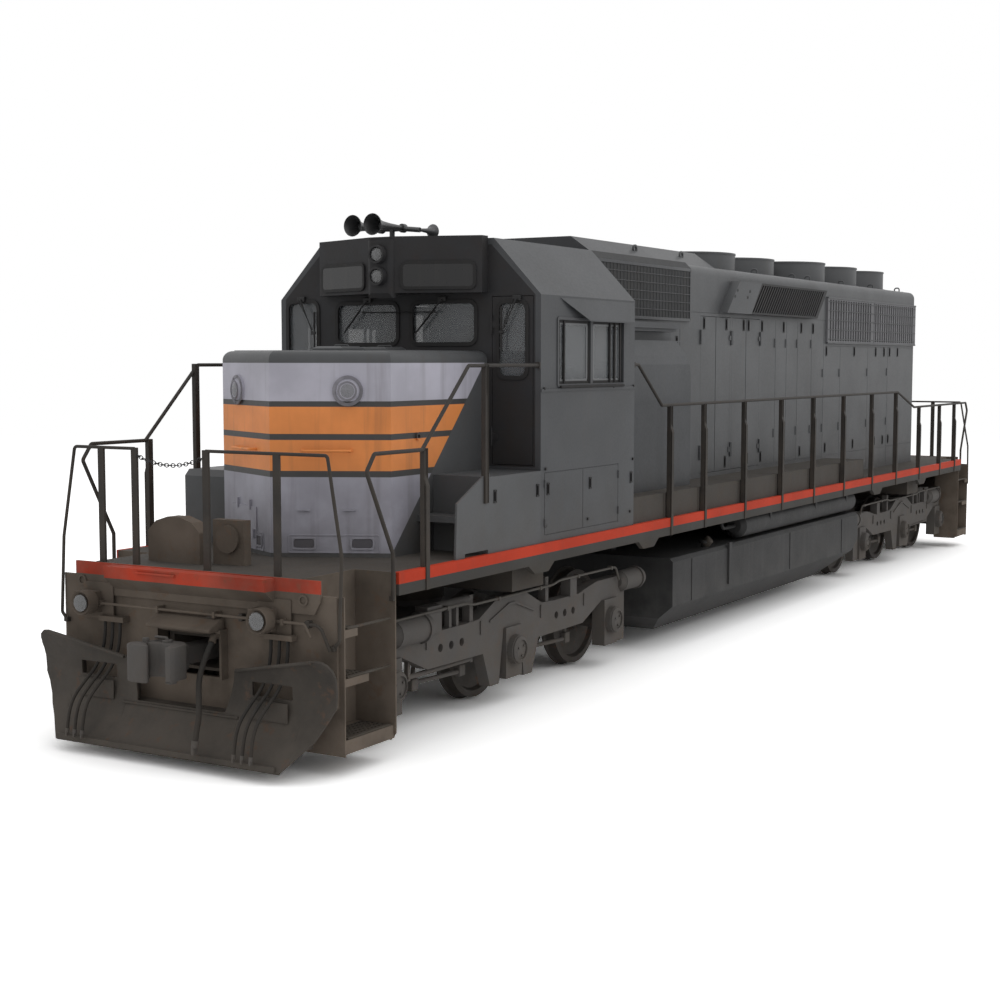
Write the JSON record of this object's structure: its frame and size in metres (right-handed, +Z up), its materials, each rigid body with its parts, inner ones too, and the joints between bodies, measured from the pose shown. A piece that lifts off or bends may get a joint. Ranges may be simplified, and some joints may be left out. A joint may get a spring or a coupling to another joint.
{
  "type": "diesel locomotive",
  "caption": "Six-axle road-switcher diesel locomotive with a low short hood, high cab and long engine hood; bogies, wheelsets, fans, couplers and doors move.",
  "frame": {"origin": "on the floor under the middle of the locomotive, level with the wheel flanges", "axes": "+X towards the short hood (front), +Y to the left side, +Z up"},
  "size_m": [20.04, 3.22, 4.7499],
  "materials": {
    "body_grey": "satin charcoal paint, dusty",
    "nose_silver": "satin silver-lavender paint with orange stripes",
    "sill_red": "satin red-orange paint",
    "frame_black": "matte black paint under brown grime",
    "grimed_steel": "cast steel under road grime",
    "wheel_steel": "rolled steel, rusty faces and bright treads",
    "screen_dark": "matte dark screens and shrouds",
    "glass": "clear",
    "seat_cloth": "woven black",
    "console_paint": "satin grey-green",
    "brass_horn": "grey paint",
    "rubber_hose": "matte black",
    "engine_paint": "oily grey paint"
  },
  "bodies": {
    "frame": {"air_reservoirs": "frame_black", "battery_boxes": "body_grey", "blower_housing": "body_grey", "brake_housings": "body_grey", "cab_base": "body_grey", "cab_front": "body_grey", "cab_glass": "glass", "cab_rear": "body_grey", "cab_roof": "body_grey", "cab_seats": "seat_cloth", "cab_sides": "body_grey", "control_stand": "console_paint", "end_handrails": "frame_black", "engine_block": "engine_paint", "front_hoses": "rubber_hose", "front_pilot": "frame_black", "fuel_tank": "frame_black", "hood_grilles": "screen_dark", "hood_roof": "body_grey", "hood_walls": "body_grey", "horn": "brass_horn", "hose_couplings": "grimed_steel", "light_box": "screen_dark", "nose": "nose_silver", "rear_pilot": "frame_black", "roof_housings": "screen_dark", "side_handrails": "frame_black", "side_sills": "sill_red", "snow_plow": "frame_black", "underframe": "frame_black", "walkway_duct": "body_grey"},
    "front_bogie": {"front_bogie": "grimed_steel", "front_bogie_axle_boxes": "grimed_steel", "front_bogie_motors": "grimed_steel"},
    "wheelset_1": {"wheelset_1": "wheel_steel"},
    "wheelset_2": {"wheelset_2": "wheel_steel"},
    "wheelset_3": {"wheelset_3": "wheel_steel"},
    "rear_bogie": {"rear_bogie": "grimed_steel", "rear_bogie_axle_boxes": "grimed_steel", "rear_bogie_motors": "grimed_steel"},
    "wheelset_4": {"wheelset_4": "wheel_steel"},
    "wheelset_5": {"wheelset_5": "wheel_steel"},
    "wheelset_6": {"wheelset_6": "wheel_steel"},
    "front_coupler": {"front_coupler": "grimed_steel"},
    "rear_coupler": {"rear_coupler": "grimed_steel"},
    "front_door": {"front_door": "body_grey"},
    "rear_door": {"rear_door": "body_grey"},
    "left_hood_door_1": {"left_hood_door_1": "body_grey"},
    "left_hood_door_2": {"left_hood_door_2": "body_grey"},
    "left_hood_door_3": {"left_hood_door_3": "body_grey"},
    "left_hood_door_4": {"left_hood_door_4": "body_grey"},
    "right_hood_door_1": {"right_hood_door_1": "body_grey"},
    "right_hood_door_2": {"right_hood_door_2": "body_grey"},
    "right_hood_door_3": {"right_hood_door_3": "body_grey"},
    "right_hood_door_4": {"right_hood_door_4": "body_grey"},
    "fan_1": {"fan_1": "screen_dark"},
    "fan_2": {"fan_2": "screen_dark"},
    "fan_3": {"fan_3": "screen_dark"},
    "fan_4": {"fan_4": "screen_dark"},
    "fan_5": {"fan_5": "screen_dark"}
  },
  "joints": [
    {"name": "front_bogie_swivel", "type": "hinge", "parent": "frame", "child": "front_bogie", "pos_m": [6.36, 0, 0.9], "axis": [0, 0, 1], "range_deg": [-3.5, 3.5]},
    {"name": "wheelset_1_roll", "type": "hinge", "parent": "front_bogie", "child": "wheelset_1", "pos_m": [8.428, 0, 0.533], "axis": [0, 1, 0], "continuous": true},
    {"name": "wheelset_2_roll", "type": "hinge", "parent": "front_bogie", "child": "wheelset_2", "pos_m": [6.36, 0, 0.533], "axis": [0, 1, 0], "continuous": true},
    {"name": "wheelset_3_roll", "type": "hinge", "parent": "front_bogie", "child": "wheelset_3", "pos_m": [4.292, 0, 0.533], "axis": [0, 1, 0], "continuous": true},
    {"name": "rear_bogie_swivel", "type": "hinge", "parent": "frame", "child": "rear_bogie", "pos_m": [-6.36, 0, 0.9], "axis": [0, 0, 1], "range_deg": [-3.5, 3.5]},
    {"name": "wheelset_4_roll", "type": "hinge", "parent": "rear_bogie", "child": "wheelset_4", "pos_m": [-8.428, 0, 0.533], "axis": [0, 1, 0], "continuous": true},
    {"name": "wheelset_5_roll", "type": "hinge", "parent": "rear_bogie", "child": "wheelset_5", "pos_m": [-6.36, 0, 0.533], "axis": [0, 1, 0], "continuous": true},
    {"name": "wheelset_6_roll", "type": "hinge", "parent": "rear_bogie", "child": "wheelset_6", "pos_m": [-4.292, 0, 0.533], "axis": [0, 1, 0], "continuous": true},
    {"name": "front_coupler_swing", "type": "hinge", "parent": "frame", "child": "front_coupler", "pos_m": [9.06, 0, 0.88], "axis": [0, 0, 1], "range_deg": [-6, 6]},
    {"name": "rear_coupler_swing", "type": "hinge", "parent": "frame", "child": "rear_coupler", "pos_m": [-9.06, 0, 0.88], "axis": [0, 0, 1], "range_deg": [-6, 6]},
    {"name": "front_door_hinge", "type": "hinge", "parent": "frame", "child": "front_door", "pos_m": [6.356, 0.994, 3.1], "axis": [0, 0, -1], "range_deg": [0, 95]},
    {"name": "rear_door_hinge", "type": "hinge", "parent": "frame", "child": "rear_door", "pos_m": [4.32, -0.994, 3.1], "axis": [0, 0, -1], "range_deg": [0, 95]},
    {"name": "left_hood_door_1_hinge", "type": "hinge", "parent": "frame", "child": "left_hood_door_1", "pos_m": [1.255, 0.942, 2.86], "axis": [0, 0, -1], "range_deg": [0, 88]},
    {"name": "left_hood_door_2_hinge", "type": "hinge", "parent": "frame", "child": "left_hood_door_2", "pos_m": [0.28, 0.942, 2.86], "axis": [0, 0, 1], "range_deg": [0, 88]},
    {"name": "left_hood_door_3_hinge", "type": "hinge", "parent": "frame", "child": "left_hood_door_3", "pos_m": [0.25, 0.942, 2.86], "axis": [0, 0, -1], "range_deg": [0, 88]},
    {"name": "left_hood_door_4_hinge", "type": "hinge", "parent": "frame", "child": "left_hood_door_4", "pos_m": [-0.725, 0.942, 2.86], "axis": [0, 0, 1], "range_deg": [0, 88]},
    {"name": "right_hood_door_1_hinge", "type": "hinge", "parent": "frame", "child": "right_hood_door_1", "pos_m": [1.255, -0.942, 2.86], "axis": [0, 0, 1], "range_deg": [0, 88]},
    {"name": "right_hood_door_2_hinge", "type": "hinge", "parent": "frame", "child": "right_hood_door_2", "pos_m": [0.28, -0.942, 2.86], "axis": [0, 0, -1], "range_deg": [0, 88]},
    {"name": "right_hood_door_3_hinge", "type": "hinge", "parent": "frame", "child": "right_hood_door_3", "pos_m": [0.25, -0.942, 2.86], "axis": [0, 0, 1], "range_deg": [0, 88]},
    {"name": "right_hood_door_4_hinge", "type": "hinge", "parent": "frame", "child": "right_hood_door_4", "pos_m": [-0.725, -0.942, 2.86], "axis": [0, 0, -1], "range_deg": [0, 88]},
    {"name": "fan_1_spin", "type": "hinge", "parent": "frame", "child": "fan_1", "pos_m": [-0.36, 0, 4.58], "axis": [0, 0, 1], "continuous": true},
    {"name": "fan_2_spin", "type": "hinge", "parent": "frame", "child": "fan_2", "pos_m": [-1.79, 0, 4.58], "axis": [0, 0, 1], "continuous": true},
    {"name": "fan_3_spin", "type": "hinge", "parent": "frame", "child": "fan_3", "pos_m": [-3.93, 0, 4.58], "axis": [0, 0, 1], "continuous": true},
    {"name": "fan_4_spin", "type": "hinge", "parent": "frame", "child": "fan_4", "pos_m": [-5.44, 0, 4.58], "axis": [0, 0, 1], "continuous": true},
    {"name": "fan_5_spin", "type": "hinge", "parent": "frame", "child": "fan_5", "pos_m": [-6.85, 0, 4.58], "axis": [0, 0, 1], "continuous": true}
  ]
}
